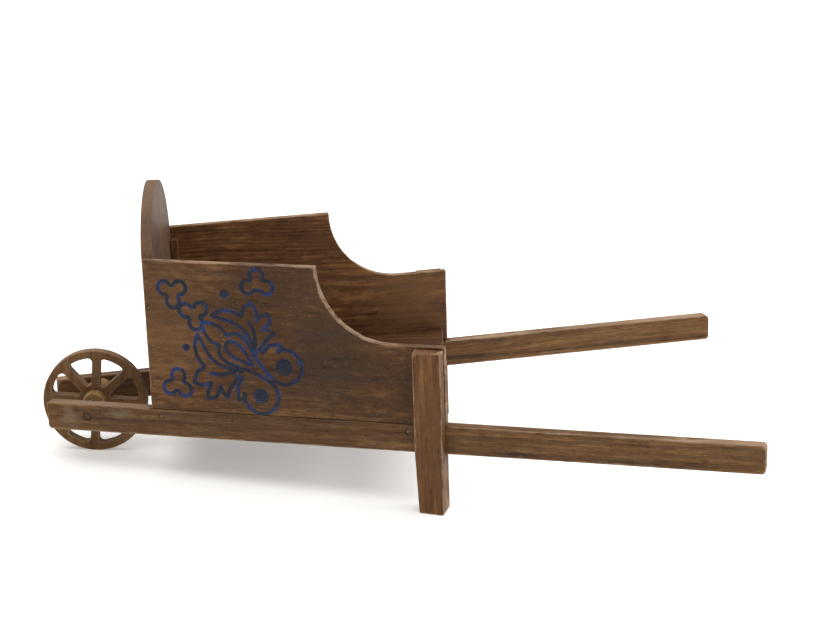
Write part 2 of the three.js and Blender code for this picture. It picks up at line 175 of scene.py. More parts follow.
# Stained board: growth rings round a pith beside the board, long fibres, short dark pores, uneven stain
def stainedGrainGroup():
    tree, given, result = makeGroup("stainedGrain", {
        "Place": "vector", "Seed": 0.0, "Ring Spacing": 0.0032, "Pith Across": 0.05, "Pith Depth": 0.06,
        "Lean": 0.03, "Wobble": 0.006, "Rings": 0.5, "Fibres": 0.5, "Pores": 0.5, "Dashes": 0.3,
        "Blotches": 0.5, "Dark": tone(52, 34, 22), "Middle": tone(98, 70, 47),
        "Light": tone(136, 101, 70),
    }, {"Color": tone(98, 70, 47), "Roughness": 0.6, "Height": 0.0})
    place = given["Place"]
    shift = seedShift(tree, given["Seed"])
    split = tree.nodes.new("ShaderNodeSeparateXYZ")
    feed(tree, split.inputs[0], place)
    along, across, depth = split.outputs
    slowBend = centred(tree, noiseField(tree, place, (2.6, 12, 12), shift), 2.0)
    quickBend = centred(tree, noiseField(tree, place, (9, 70, 70), shift), 0.35)
    bend = calc(tree, "MULTIPLY", calc(tree, "ADD", slowBend, quickBend), given["Wobble"])
    leaning = calc(tree, "MULTIPLY_ADD", along, given["Lean"], bend)
    sideways = calc(tree, "ADD", calc(tree, "SUBTRACT", across, given["Pith Across"]), leaning)
    inwards = calc(tree, "MULTIPLY_ADD", bend, 0.5, calc(tree, "SUBTRACT", depth, given["Pith Depth"]))
    square = calc(tree, "MULTIPLY_ADD", sideways, sideways, calc(tree, "MULTIPLY", inwards, inwards))
    turns = calc(tree, "DIVIDE", calc(tree, "SQRT", square), given["Ring Spacing"])
    ring = calc(tree, "FRACT", turns)
    white = tree.nodes.new("ShaderNodeTexWhiteNoise")
    white.noise_dimensions = "1D"
    feed(tree, white.inputs["W"], calc(tree, "ADD", calc(tree, "FLOOR", turns), given["Seed"]))
    strength = calc(tree, "MULTIPLY_ADD", white.outputs["Value"], 0.65, 0.35)
    lateWood = calc(tree, "MULTIPLY", ramp(tree, ring, 0.3, 0.86), ramp(tree, ring, 0.9, 1.0, 1.0, 0.0))
    late = calc(tree, "MULTIPLY", lateWood, strength)

    fibre = noiseField(tree, place, (26, 900, 900), shift, 5.0, 0.62)
    streak = noiseField(tree, place, (14, 260, 260), shift, 4.0, 0.6)
    poreField = noiseField(tree, place, (110, 2300, 2300), shift, 1.0, 0.4)
    openWood = calc(tree, "MULTIPLY_ADD", late, -0.6, 1.0)
    pores = calc(tree, "MULTIPLY", calc(tree, "MULTIPLY", ramp(tree, poreField, 0.6, 0.72), openWood),
                 given["Pores"])
    dash = ramp(tree, noiseField(tree, place, (75, 620, 620), shift, 3.0, 0.6), 0.52, 0.7)
    blotch = noiseField(tree, place, (8, 22, 22), shift, 6.0, 0.66)
    mottle = noiseField(tree, place, (75, 190, 190), shift, 4.0, 0.62)

    level = calc(tree, "SUBTRACT", 0.62, calc(tree, "MULTIPLY", late, given["Rings"]))
    level = calc(tree, "SUBTRACT", level, calc(tree, "MULTIPLY", dash, given["Dashes"]))
    level = calc(tree, "MULTIPLY_ADD", centred(tree, fibre, 1.5), given["Fibres"], level)
    level = calc(tree, "MULTIPLY_ADD", centred(tree, streak, 1.5), given["Fibres"], level)
    level = calc(tree, "MULTIPLY_ADD", centred(tree, blotch, 1.5), given["Blotches"], level)
    level = calc(tree, "MULTIPLY_ADD", centred(tree, mottle, 0.9), given["Blotches"], level)
    low = mixColour(tree, ramp(tree, level, 0.0, 0.5), given["Dark"], given["Middle"])
    colour = mixColour(tree, ramp(tree, level, 0.5, 1.0), low, given["Light"])
    colour = mixColour(tree, pores, colour, given["Dark"])
    feed(tree, result["Color"], colour)
    rough = calc(tree, "MULTIPLY_ADD", late, -0.1, 0.62)
    feed(tree, result["Roughness"], calc(tree, "ADD", rough, centred(tree, fibre, 0.22)))
    height = calc(tree, "MULTIPLY_ADD", late, 0.35, calc(tree, "MULTIPLY", fibre, 0.55))
    feed(tree, result["Height"], calc(tree, "SUBTRACT", height, calc(tree, "MULTIPLY", pores, 0.7)))
    spreadNodes(tree)
    return tree


# Edge wear and painted highlight: where a face nears an arris, handling has rubbed the stain off in a
# ragged pale band, which also stands for the light that catches the arris
def arrisWearAndHighlightGroup():
    tree, given, result = makeGroup("edgeWear", {
        "Color": tone(98, 70, 47), "Place": "vector", "Gap": 0.0, "Seed": 0.0, "Width": 0.0014,
        "Amount": 0.6, "Bare": tone(168, 140, 112),
    }, {"Color": tone(98, 70, 47), "Mask": 0.0})
    shift = seedShift(tree, given["Seed"])
    ragged = noiseField(tree, given["Place"], (70, 260, 260), shift, 4.0, 0.65)
    patchy = noiseField(tree, given["Place"], (16, 30, 30), shift, 2.0, 0.5)
    reach = calc(tree, "MULTIPLY", given["Width"], ramp(tree, ragged, 0.25, 0.75, 0.35, 1.9))
    band = ramp(tree, given["Gap"], calc(tree, "MULTIPLY", reach, 0.3), reach, 1.0, 0.0)
    rubbed = calc(tree, "MULTIPLY", given["Amount"], ramp(tree, patchy, 0.3, 0.66, 0.25, 1.0))
    mask = calc(tree, "MULTIPLY", band, rubbed, clamp=True)
    feed(tree, result["Color"], mixColour(tree, mask, given["Color"], given["Bare"]))
    feed(tree, result["Mask"], mask)
    spreadNodes(tree)
    return tree


# Age: a thin grey film in patches, and fine pale scratches that cross the grain
def dustFilmGroup():
    tree, given, result = makeGroup("dustFilm", {
        "Color": tone(98, 70, 47), "Place": "vector", "Seed": 0.0, "Amount": 0.3, "Scratches": 0.3,
        "Dust": tone(150, 138, 122),
    }, {"Color": tone(98, 70, 47), "Mask": 0.0})
    shift = seedShift(tree, given["Seed"])
    film = ramp(tree, noiseField(tree, given["Place"], (14, 34, 34), shift, 5.0, 0.6), 0.46, 0.74)
    speck = ramp(tree, noiseField(tree, given["Place"], (520, 520, 520), shift, 2.0, 0.5), 0.5, 0.75)
    haze = calc(tree, "MULTIPLY", calc(tree, "MULTIPLY_ADD", speck, 0.6, 0.4),
                calc(tree, "MULTIPLY", film, given["Amount"]))
    turned = tree.nodes.new("ShaderNodeMapping")
    turned.inputs["Rotation"].default_value = (0.4, 0.3, 0.7)
    feed(tree, turned.inputs["Vector"], given["Place"])
    lines = noiseField(tree, turned.outputs[0], (22, 1500, 1500), shift, 0.0, 0.5)
    thin = calc(tree, "MULTIPLY", ramp(tree, lines, 0.71, 0.78), given["Scratches"])
    mask = calc(tree, "MAXIMUM", haze, thin, clamp=True)
    feed(tree, result["Color"], mixColour(tree, mask, given["Color"], given["Dust"]))
    feed(tree, result["Mask"], mask)
    spreadNodes(tree)
    return tree


# One soft-edged patch that makes one place on a piece lighter or darker
def softPatchGroup():
    tree, given, result = makeGroup("softPatch", {
        "Color": tone(98, 70, 47), "Place": "vector", "Centre": "vector", "Size": "vector", "Seed": 0.0,
        "Amount": 0.5, "Tint": tone(40, 28, 20),
    }, {"Color": tone(98, 70, 47), "Mask": 0.0})
    shift = seedShift(tree, given["Seed"])
    offset = vectorCalc(tree, "DIVIDE", vectorCalc(tree, "SUBTRACT", given["Place"], given["Centre"]),
                        given["Size"])
    wave = centred(tree, noiseField(tree, given["Place"], (60, 130, 130), shift, 5.0, 0.68), 1.5)
    reach = calc(tree, "ADD", vectorCalc(tree, "LENGTH", offset), wave)
    mask = calc(tree, "MULTIPLY", ramp(tree, reach, 0.35, 1.1, 1.0, 0.0), given["Amount"], clamp=True)
    feed(tree, result["Color"], mixColour(tree, mask, given["Color"], given["Tint"]))
    feed(tree, result["Mask"], mask)
    spreadNodes(tree)
    return tree


stainedGrain = stainedGrainGroup()
edgeWear = arrisWearAndHighlightGroup()
dustFilm = dustFilmGroup()
softPatch = softPatchGroup()
print("shader groups built")


def useGroup(tree, group, values):
    node = tree.nodes.new("ShaderNodeGroup")
    node.node_tree = group
    for name, value in values.items():
        feed(tree, node.inputs[name], value)
    return node.outputs


def newMaterial(name):
    material = bpy.data.materials.new(name)
    material.use_nodes = True
    tree = material.node_tree
    shader = tree.nodes["Principled BSDF"]
    return material, tree, shader


# Grain runs along the piece: its own middle and axes turn the pattern
def piecePlace(tree, middle, axes):
    coordinates = tree.nodes.new("ShaderNodeTexCoord")
    mapping = tree.nodes.new("ShaderNodeMapping")
    mapping.vector_type = "TEXTURE"
    mapping.inputs["Location"].default_value = middle
    mapping.inputs["Rotation"].default_value = axes.to_euler()
    tree.links.new(coordinates.outputs["Object"], mapping.inputs["Vector"])
    return mapping.outputs[0]


def relief(tree, shader, height, strength, distance):
    bump = tree.nodes.new("ShaderNodeBump")
    bump.inputs["Strength"].default_value = strength
    bump.inputs["Distance"].default_value = distance
    feed(tree, bump.inputs["Height"], height)
    tree.links.new(bump.outputs["Normal"], shader.inputs["Normal"])


def woodMaterial(name, middle, axes, look):
    material, tree, shader = newMaterial(name)
    place = piecePlace(tree, middle, axes)
    seed = float(look["seed"])
    grain = useGroup(tree, stainedGrain, {
        "Place": place, "Seed": seed, "Ring Spacing": look["ringSpacing"], "Pith Across": look["pith"][0],
        "Pith Depth": look["pith"][1], "Lean": look["lean"], "Wobble": look["wobble"],
        "Rings": look["rings"], "Fibres": look["fibres"], "Pores": look["pores"],
        "Dashes": look["dashes"], "Blotches": look["blotches"],
        "Dark": tone(*look["dark"]), "Middle": tone(*look["middle"]), "Light": tone(*look["light"]),
    })
    colour = grain["Color"]
    for number, patch in enumerate(look.get("patches", ())):
        colour = useGroup(tree, softPatch, {
            "Color": colour, "Place": place, "Centre": patch["centre"], "Size": patch["size"],
            "Seed": seed + number, "Amount": patch["amount"], "Tint": tone(*patch["tint"]),
        })["Color"]
    # The pale band near free arrises: stain worn off by handling, and a painted highlight where light
    # catches the arris
    gap = tree.nodes.new("ShaderNodeAttribute")
    gap.attribute_name = "edgeGap"
    worn = useGroup(tree, edgeWear, {
        "Color": colour, "Place": place, "Gap": gap.outputs["Fac"], "Seed": seed,
        "Width": look["wearWidth"], "Amount": look["wear"], "Bare": tone(*look["bare"]),
    })
    dusty = useGroup(tree, dustFilm, {
        "Color": worn["Color"], "Place": place, "Seed": seed, "Amount": look["dust"],
        "Scratches": look["scratches"], "Dust": tone(*look["dustTint"]),
    })
    feed(tree, shader.inputs["Base Color"], dusty["Color"])
    rough = calc(tree, "MULTIPLY_ADD", worn["Mask"], 0.12, grain["Roughness"])
    feed(tree, shader.inputs["Roughness"], calc(tree, "MULTIPLY_ADD", dusty["Mask"], 0.2, rough))
    relief(tree, shader, grain["Height"], look["relief"], 0.35 * mm)
    shader.inputs["Specular IOR Level"].default_value = look["gloss"]
    spreadNodes(tree)
    return material


# Every wood starts from this and each piece says where it differs
plainWood = {
    "ringSpacing": 3.4 * mm, "pith": (0.02, -0.09), "lean": 0.02, "wobble": 5 * mm,
    "rings": 0.42, "fibres": 0.42, "pores": 0.35, "dashes": 0.3, "blotches": 0.5,
    "dark": (36, 21, 12), "middle": (84, 56, 33), "light": (122, 87, 54),
    # The pale band along free arrises stands for stain rubbed off by handling and also for a painted
    # highlight on the arris
    "wear": 0.75, "wearWidth": 1.3 * mm, "bare": (158, 132, 106),
    "dust": 0.16, "scratches": 0.25, "dustTint": (122, 106, 88),
    "relief": 0.6, "gloss": 0.16, "seed": 1,
}


def like(look, **changes):
    return {**look, **changes}


# A copy of a mesh with its loose triangles merged back into whole faces
def wholeFaces(mesh, flatness=0.5):
    shape = bmesh.new()
    shape.from_mesh(mesh)
    bmesh.ops.remove_doubles(shape, verts=shape.verts, dist=0.002 * mm)
    bmesh.ops.dissolve_limit(
        shape, angle_limit=math.radians(flatness), verts=shape.verts, edges=shape.edges)
    return shape


# The lowest and the highest corner of the box round some points
def extent(points):
    return [Vector(pick(point[k] for point in points) for k in range(3)) for pick in (min, max)]


# A board's axes: along its longest edge, across it, and through its largest face
def boardAxes(node):
    shape = wholeFaces(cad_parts[node].data)
    through = max(shape.faces, key=lambda face: face.calc_area()).normal.copy()
    flat = [edge for edge in shape.edges
            if abs((edge.verts[1].co - edge.verts[0].co).normalized().dot(through)) < 0.05]
    longest = max(flat, key=lambda edge: edge.calc_length())
    along = (longest.verts[1].co - longest.verts[0].co).normalized()
    if along.x + along.z < 0:
        along.negate()
    across = through.cross(along).normalized()
    axes = Matrix((along, across, through)).transposed()
    low, high = extent([axes.transposed() @ vertex.co for vertex in shape.verts])
    shape.free()
    return axes, low, high


# Long arrises only: the rims of nail and dowel holes stay crisp
def longArrises(shape, holeSize):
    sharp = {edge for edge in shape.edges if edge.calc_face_angle(0) > math.radians(35)}
    kept = []
    while sharp:
        chain, waiting = [], [sharp.pop()]
        while waiting:
            edge = waiting.pop()
            chain.append(edge)
            for vertex in edge.verts:
                for other in vertex.link_edges:
                    if other in sharp:
                        sharp.discard(other)
                        waiting.append(other)
        low, high = extent([vertex.co for edge in chain for vertex in edge.verts])
        if max(high - low) > holeSize:
            kept.extend(chain)
    return kept


# Every CAD piece, to tell an arris that stands free from one that a neighbour covers
neighbours = {}
for node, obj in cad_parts.items():
    faces = [tuple(face.vertices) for face in obj.data.polygons]
    neighbours[node] = (*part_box(node), BVHTree.FromPolygons([v.co for v in obj.data.vertices], faces))


def covered(point, own, reach=0.7 * mm):
    for node, (low, high, tree) in neighbours.items():
        if node != own and all(low[k] - reach < point[k] < high[k] + reach for k in range(3)):
            if tree.find_nearest(point, reach)[0] is not None:
                return True
    return False


# Points along the arrises, to find how far any place is from the nearest one
def arrisTree(edges, own=None, spacing=0.5 * mm):
    points = []
    for edge in edges:
        start, end = (vertex.co for vertex in edge.verts)
        count = max(1, math.ceil(edge.calc_length() / spacing))
        points.extend(start.lerp(end, step / count) for step in range(count + 1))
    if own:
        points = [point for point in points if not covered(point, own)]
    tree = kdtree.KDTree(len(points))
    for index, point in enumerate(points):
        tree.insert(point, index)
    tree.balance()
    return tree


# Cuts along a piece and across it, so that its faces have points to move and to show the pale arris band
# of wear and painted highlight
def cutGrid(shape, axes, low, high, grid):
    for axis in range(2):
        direction = axes.col[axis]
        for number in range(1, math.ceil((high[axis] - low[axis]) / grid)):
            bmesh.ops.bisect_plane(
                shape, geom=shape.verts[:] + shape.edges[:] + shape.faces[:], dist=0.001 * mm,
                plane_co=direction * (low[axis] + number * grid), plane_no=direction)


knocks = {
    "slowWaves": 18, "quickWaves": 95,    # per metre
    "chipLevel": 0.12, "chipSpan": 0.6,   # where the quick waves start to chip, and over what rise
    "chipReach": 2.2 * mm,                # how far from an arris a chip can be
}


# Years of knocks: faces wander a little and arrises lose small chips, always inwards
def knockAbout(shape, tree, wander, chip, seed):
    shape.normal_update()
    shift = Vector((seed * 3.1, seed * 1.7, seed * 2.3))
    moves = []
    for vertex in shape.verts:
        gap = tree.find(vertex.co)[2]
        slow = 0.5 + 0.5 * noise.noise(vertex.co * knocks["slowWaves"] + shift)
        rise = noise.noise(vertex.co * knocks["quickWaves"] + shift) - knocks["chipLevel"]
        quick = max(0.0, rise) / knocks["chipSpan"]
        near = max(0.0, 1 - gap / knocks["chipReach"])
        moves.append((vertex, -vertex.normal * (wander * slow + chip * quick * near)))
    for vertex, move in moves:
        vertex.co += move


# Turns what an object's modifiers make of it into its own plain mesh
def settle(obj):
    bpy.context.view_layer.update()
    graph = bpy.context.evaluated_depsgraph_get()
    mesh = bpy.data.meshes.new_from_object(
        obj.evaluated_get(graph), preserve_all_data_layers=True, depsgraph=graph)
    obj.modifiers.clear()
    obj.data = mesh
    mesh.name = obj.name


def softShade(obj, angle=40):
    obj.data.shade_smooth()
    obj.data.set_sharp_from_angle(angle=math.radians(angle))
    weighted = obj.modifiers.new("evenShade", "WEIGHTED_NORMAL")
    weighted.keep_sharp = True
    settle(obj)


def addObject(name, mesh):
    obj = bpy.data.objects.new(name, mesh)
    bpy.context.scene.collection.objects.link(obj)
    return obj


# gaps, where given, is an arrisTree: edgeGap then holds each point's distance to the nearest arris
def meshFrom(shape, name, gaps=None):
    shape.normal_update()
    mesh = bpy.data.meshes.new(name)
    if gaps:
        values = [gaps.find(vertex.co)[2] for vertex in shape.verts]
    shape.to_mesh(mesh)
    shape.free()
    if gaps:
        mesh.attributes.new("edgeGap", "FLOAT", "POINT").data.foreach_set("value", values)
    return mesh


# left_shaft becomes leftShaft. A single word is taken by its CAD object, so wheel becomes cartWheel
def camel(node):
    first, *rest = (node if "_" in node else f"cart_{node}").split("_")
    return first + "".join(word.capitalize() for word in rest)


def handOver(obj, body, nodes):
    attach(obj, body)
    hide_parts(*nodes)


# Boards: the CAD outline with eased arrises, a fine grid, small knocks and its own wood
boardShape = {
    "holeSize": 12 * mm,
    "ease": 0.8 * mm,
    "easeSteps": 3,
    "grid": 5 * mm,
    "wander": 0.1 * mm,
    "chip": 0.45 * mm,
}

shaftWood = like(
    plainWood, ringSpacing=2.9 * mm, pith=(0.012, -0.055), lean=0.012, wobble=3 * mm, rings=0.5,
    fibres=0.72, pores=0.7, dark=(50, 32, 17), middle=(90, 62, 34), light=(126, 93, 55))
panelWood = like(
    plainWood, ringSpacing=5.2 * mm, pith=(-0.01, -0.05), lean=0.05, wobble=13 * mm, rings=0.16,
    fibres=0.4, pores=0.5, dashes=0.22, blotches=0.95, dark=(32, 20, 12), middle=(73, 47, 25),
    light=(114, 79, 46), dust=0.09, scratches=0.4)
legWood = like(
    plainWood, ringSpacing=3.6 * mm, pith=(0.006, -0.03), lean=0.05, wobble=4 * mm, rings=0.4,
    fibres=0.6, dark=(50, 30, 16), middle=(92, 60, 33), light=(126, 87, 51))
floorWood = like(
    plainWood, ringSpacing=4.2 * mm, pith=(0.0, -0.05), lean=0.03, wobble=7 * mm, rings=0.45,
    fibres=0.6, dark=(34, 18, 9), middle=(72, 43, 22), light=(102, 66, 36), wear=0.3)

# A patch's centre, from the board's middle, and its size are in metres along, across and through it
boards = {
    "left_shaft": {
        "slot": "shaft_wood", "ease": 1.0 * mm, "look": like(shaftWood, seed=3, scratches=0.5, patches=[
            {"centre": (-0.28, 0.0, 0.006), "size": (0.03, 0.02, 0.02), "amount": 0.6,
             "tint": (50, 37, 28)},
            {"centre": (-0.12, 0.0, 0.0), "size": (0.19, 0.03, 0.03), "amount": 0.45,
             "tint": (60, 38, 22)},
            {"centre": (-0.318, 0.0, 0.006), "size": (0.014, 0.016, 0.02), "amount": 0.5,
             "tint": (138, 122, 104)},
            {"centre": (-0.268, -0.006, 0.006), "size": (0.02, 0.007, 0.02), "amount": 0.45,
             "tint": (132, 116, 100)},
        ])},
    "right_shaft": {
        "slot": "shaft_wood", "ease": 1.0 * mm, "look": like(
            shaftWood, seed=8, middle=(96, 66, 37), patches=[
                {"centre": (-0.26, 0.0, 0.0), "size": (0.07, 0.03, 0.03), "amount": 0.5,
                 "tint": (56, 32, 20)},
            ])},
    "left_side_panel": {
        "slot": "panel_wood", "look": like(panelWood, seed=5, patches=[
            {"centre": (-0.12, 0.02, 0.0), "size": (0.06, 0.08, 0.02), "amount": 0.3,
             "tint": (112, 80, 50)},
            {"centre": (0.035, -0.015, 0.0), "size": (0.05, 0.06, 0.02), "amount": 0.5,
             "tint": (52, 39, 29)},
            {"centre": (0.0, 0.062, 0.0), "size": (0.07, 0.034, 0.02), "amount": 0.75,
             "tint": (58, 35, 20)},
        ])},
    "right_side_panel": {
        "slot": "panel_wood", "look": like(
            panelWood, seed=11, ringSpacing=2.7 * mm, rings=0.4, wobble=9 * mm, fibres=0.45,
            dark=(54, 30, 15), middle=(90, 56, 29), light=(132, 92, 52), patches=[
                {"centre": (0.1, -0.02, 0.0), "size": (0.05, 0.06, 0.03), "amount": 0.5,
                 "tint": (114, 84, 54)},
            ])},
    "headboard": {
        "slot": "panel_wood", "look": like(
            panelWood, seed=14, middle=(78, 51, 29), light=(110, 77, 46), gloss=0.52, wear=0.6,
            wearWidth=3.2 * mm, bare=(116, 82, 50), dust=0.04)},
    "left_leg": {"slot": "shaft_wood", "ease": 1.1 * mm, "look": like(legWood, seed=17)},
    "right_leg": {"slot": "shaft_wood", "ease": 1.1 * mm, "look": like(legWood, seed=21)},
    "left_corner_batten": {"slot": "shaft_wood", "look": like(
        panelWood, seed=24, wear=0.0, middle=(80, 49, 26))},
    "right_corner_batten": {"slot": "shaft_wood", "look": like(
        panelWood, seed=26, wear=0.0, middle=(80, 49, 26))},
    "front_bearer": {"slot": "shaft_wood", "look": like(legWood, seed=29)},
    "rear_bearer": {"slot": "shaft_wood", "look": like(legWood, seed=31)},
    "floor_board_left": {
        "slot": "panel_wood", "axesOf": "floor_board_middle", "look": like(floorWood, seed=34)},
    "floor_board_middle": {"slot": "panel_wood", "look": like(floorWood, seed=37)},
    "floor_board_right": {
        "slot": "panel_wood", "axesOf": "floor_board_middle", "look": like(floorWood, seed=40)},
}


# The fine surface of a sawn piece: its arrises eased, a grid cut into it, and its knocks
def weather(shape, name, axes, low, high, sizes, seed, own=None):
    arrises = longArrises(shape, sizes["holeSize"])
    gaps = arrisTree(arrises, own)
    bmesh.ops.bevel(
        shape, geom=arrises, offset=sizes["ease"], affect="EDGES", segments=sizes["easeSteps"],
        profile=0.5, clamp_overlap=True)
    cutGrid(shape, axes, low, high, sizes["grid"])
    knockAbout(shape, gaps, sizes["wander"], sizes["chip"], seed)
    bmesh.ops.triangulate(shape, faces=[face for face in shape.faces if len(face.verts) > 4])
    return meshFrom(shape, name, gaps)


# The outer floor boards taper, so they take the middle one's axes
def makeBoard(node, board):
    axes, low, high = boardAxes(board.get("axesOf", node))
    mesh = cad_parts[node].data
    if "axesOf" in board:
        low, high = extent([axes.transposed() @ vertex.co for vertex in mesh.vertices])
    sizes = like(boardShape, ease=board.get("ease", boardShape["ease"]))
    name = camel(node)
    obj = addObject(name, weather(
        wholeFaces(mesh), name, axes, low, high, sizes, board["look"]["seed"], node))
    softShade(obj)
    middle = axes @ ((low + high) / 2)
    obj.data.materials.clear()
    obj.data.materials.append(woodMaterial(name + "Wood", middle, axes, board["look"]))
    handOver(obj, "barrow", [node])
    return obj


for node, board in boards.items():
    made = makeBoard(node, board)
    print("board", made.name, len(made.data.polygons), "faces")


# Geometry node trees
def treeWith(name, inputs):
    tree = bpy.data.node_groups.new(name, "GeometryNodeTree")
    tree.is_modifier = True
    tree.interface.new_socket(name="Geometry", in_out="INPUT", socket_type="NodeSocketGeometry")
    for label, (kind, value) in inputs.items():
        socket = tree.interface.new_socket(name=label, in_out="INPUT", socket_type="NodeSocket" + kind)
        if value is not None:
            socket.default_value = value
    tree.interface.new_socket(name="Geometry", in_out="OUTPUT", socket_type="NodeSocketGeometry")
    return tree, tree.nodes.new("NodeGroupInput").outputs, tree.nodes.new("NodeGroupOutput").inputs


def step(tree, kind, inputs=None, **settings):
    node = tree.nodes.new(kind)
    for name, value in settings.items():
        setattr(node, name, value)
    for name, value in (inputs or {}).items():
        feed(tree, node.inputs[name], value)
    return node


def finishTree(tree, given, result, geometry):
    whole = step(tree, "GeometryNodeRealizeInstances", {"Geometry": geometry})
    painted = step(tree, "GeometryNodeSetMaterial", {
        "Geometry": whole.outputs[0], "Material": given["Finish"]})
    tree.links.new(painted.outputs[0], result[0])
    spreadNodes(tree)
    return tree


def runTree(obj, tree, values):
    modifier = obj.modifiers.new(tree.name, "NODES")
    modifier.node_group = tree
    for item in tree.interface.items_tree:
        if item.in_out == "INPUT" and item.name in values:
            modifier[item.identifier] = values[item.name]


# Wheel: a disc sawn into rim, parallel spokes and a round middle, its windows repeated round the axle
wheelShape = {
    "rimWidth": 7.5 * mm,
    "spokes": 8,
    "spokeWidth": 8 * mm,
    "middleRadius": 16.5 * mm,
    "windowRound": 4 * mm,
    "bore": 4.3 * mm,
    "rimSides": 200,
    "boreSides": 48,
    "phase": 2.0,             # degrees, as the wheel stands at rest
    "sawWander": 0.3 * mm,    # how far the saw strayed
    "sawWaves": 160,          # per metre
    "holeSize": 10 * mm,
    "ease": 0.45 * mm,
    "easeSteps": 2,
    "grid": 2.5 * mm,
    "wander": 0.03 * mm,
    "chip": 0.25 * mm,
    "seed": 4,
}
wheelLook = like(
    plainWood, ringSpacing=3.0 * mm, pith=(0.01, -0.12), lean=0.03, wobble=6 * mm, rings=0.26,
    fibres=0.5, dark=(58, 37, 20), middle=(102, 73, 43), light=(136, 102, 64), seed=44, wear=0.6,
    wearWidth=0.9 * mm, bare=(150, 124, 96))


def windowTree(shape):
    tree, given, result = treeWith("wheelWindows", {
        "Radius": ("Float", 0.051), "Bore": ("Float", 0.0043), "Thickness": ("Float", 0.01),
        "Spokes": ("Int", 8), "Saw Wander": ("Float", 0.0003), "Seed": ("Int", 4),
        "Finish": ("Material", None)})
    window = step(tree, "GeometryNodeMeshToCurve", {"Mesh": given["Geometry"]})
    points = step(tree, "GeometryNodePoints", {"Count": given["Spokes"]})
    share = calc(tree, "DIVIDE", 2 * math.pi, given["Spokes"])
    index = step(tree, "GeometryNodeInputIndex")
    turn = step(tree, "ShaderNodeCombineXYZ", {"Z": calc(tree, "MULTIPLY", index.outputs[0], share)})
    windows = step(tree, "GeometryNodeInstanceOnPoints", {
        "Points": points.outputs[0], "Instance": window.outputs[0], "Rotation": turn.outputs[0]})
    cut = step(tree, "GeometryNodeRealizeInstances", {"Geometry": windows.outputs[0]})
    rim = step(tree, "GeometryNodeCurvePrimitiveCircle", {
        "Resolution": shape["rimSides"], "Radius": given["Radius"]})
    field = step(tree, "ShaderNodeTexNoise", {
        "W": given["Seed"], "Scale": shape["sawWaves"]}, noise_dimensions="4D")
    away = vectorCalc(tree, "SUBTRACT", field.outputs["Color"], (0.5, 0.5, 0.5))
    flat = vectorCalc(tree, "MULTIPLY", away, (2.0, 2.0, 0.0))
    stray = step(tree, "ShaderNodeVectorMath", operation="SCALE")
    feed(tree, stray.inputs[0], flat)
    feed(tree, stray.inputs["Scale"], given["Saw Wander"])
    strayed = step(tree, "GeometryNodeSetPosition", {
        "Geometry": cut.outputs[0], "Offset": stray.outputs[0]})
    bore = step(tree, "GeometryNodeCurvePrimitiveCircle", {
        "Resolution": shape["boreSides"], "Radius": given["Bore"]})
    outline = step(tree, "GeometryNodeJoinGeometry")
    for part in (rim, strayed, bore):
        tree.links.new(part.outputs[0], outline.inputs[0])
    sheet = step(tree, "GeometryNodeFillCurve", {"Curve": outline.outputs[0]}, mode="TRIANGLES")
    raised = step(tree, "GeometryNodeExtrudeMesh", {
        "Mesh": sheet.outputs[0], "Offset Scale": given["Thickness"], "Individual": False})
    under = step(tree, "GeometryNodeFlipFaces", {"Mesh": sheet.outputs[0]})
    both = step(tree, "GeometryNodeJoinGeometry")
    tree.links.new(raised.outputs[0], both.inputs[0])
    tree.links.new(under.outputs[0], both.inputs[0])
    closed = step(tree, "GeometryNodeMergeByDistance", {
        "Geometry": both.outputs[0], "Distance": 0.001 * mm})
    return finishTree(tree, given, result, closed.outputs[0])


def arcPoints(centre, radius, start, end, steps):
    return [(centre[0] + radius * math.cos(start + (end - start) * k / steps),
             centre[1] + radius * math.sin(start + (end - start) * k / steps)) for k in range(steps + 1)]


# One window between two spokes, its outer corners rounded by arcs that touch spoke and rim
def windowOutline(shape, radius):
    half = shape["spokeWidth"] / 2
    pitch = 2 * math.pi / shape["spokes"]
    rimInside = radius - shape["rimWidth"]
    middle, corner = shape["middleRadius"], shape["windowRound"]
    ringRadius = rimInside - corner
    lean = math.asin((half + corner) / ringRadius)
    inner = math.asin(half / middle)
    first = (ringRadius * math.cos(lean), ringRadius * math.sin(lean))
    second = (ringRadius * math.cos(pitch - lean), ringRadius * math.sin(pitch - lean))
    points = arcPoints((0, 0), middle, pitch - inner, inner, 14)
    points += arcPoints(first, corner, -math.pi / 2, lean, 8)
    points += arcPoints((0, 0), rimInside, lean, pitch - lean, 22)[1:-1]
    points += arcPoints(second, corner, pitch - lean, pitch + math.pi / 2, 8)
    return points


def outlineMesh(name, loops, closed):
    mesh = bpy.data.meshes.new(name)
    points, edges = [], []
    for loop, shut in zip(loops, closed):
        start = len(points)
        points.extend(Vector((x, y, 0)) for x, y in loop)
        edges.extend((k, k + 1) for k in range(start, len(points) - 1))
        if shut:
            edges.append((len(points) - 1, start))
    mesh.from_pydata(points, edges, [])
    return mesh


